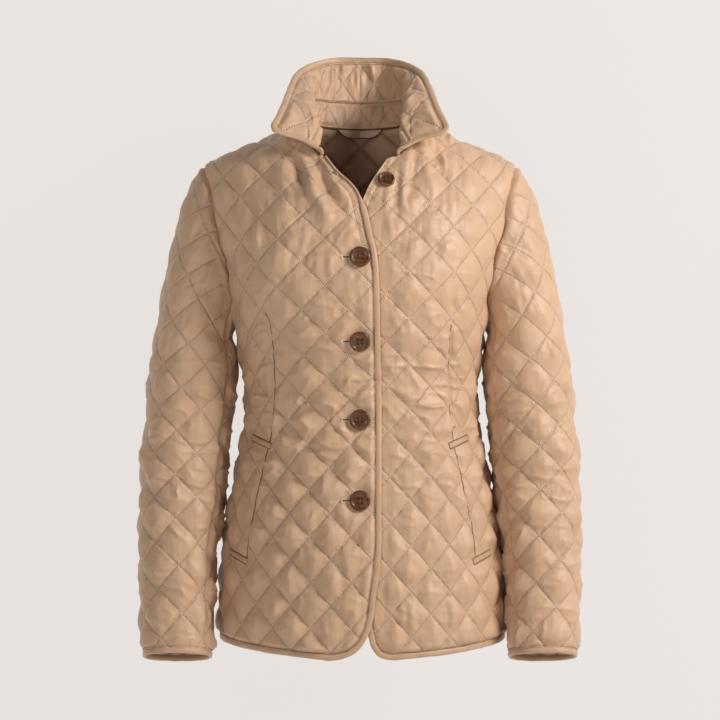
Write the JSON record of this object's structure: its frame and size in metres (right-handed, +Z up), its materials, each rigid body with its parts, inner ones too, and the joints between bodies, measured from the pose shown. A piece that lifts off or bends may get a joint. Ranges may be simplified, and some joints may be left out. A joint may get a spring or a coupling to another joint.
{
  "type": "quilted jacket",
  "caption": "Hip-length quilted jacket with raised collar, long sleeves, buttoned front, slanted pockets and bound edges, filled out as if worn.",
  "frame": {"origin": "middle of the neck opening at the height of the back neck seam, where the wearer's neck and shoulders hold the jacket", "axes": "+Z up the jacket, -Y out of its front, +X towards the wearer's left"},
  "size_m": [0.5378, 0.2763, 0.7445],
  "materials": {
    "cloth": "light tan quilted cloth with a soft sheen",
    "binding": "tan tape",
    "button": "dark brown, polished like horn"
  },
  "bodies": {
    "root": {"front_right": "cloth", "front_left": "cloth", "back": "cloth", "sleeve_right_top": "cloth", "sleeve_right_under": "cloth", "sleeve_left_top": "cloth", "sleeve_left_under": "cloth", "collar_stand": "cloth", "collar_fall": "cloth", "binding_front_right": "binding", "binding_front_left": "binding", "binding_back": "binding", "binding_collar": "binding", "binding_cuff_right": "binding", "binding_cuff_left": "binding", "pocket_right_tab_top": "binding", "pocket_right_tab_low": "binding", "pocket_left_tab_top": "binding", "pocket_left_tab_low": "binding", "hanger_loop": "binding", "button_1": "button", "button_2": "button", "button_3": "button", "button_4": "button", "button_neck": "button"}
  },
  "joints": []
}
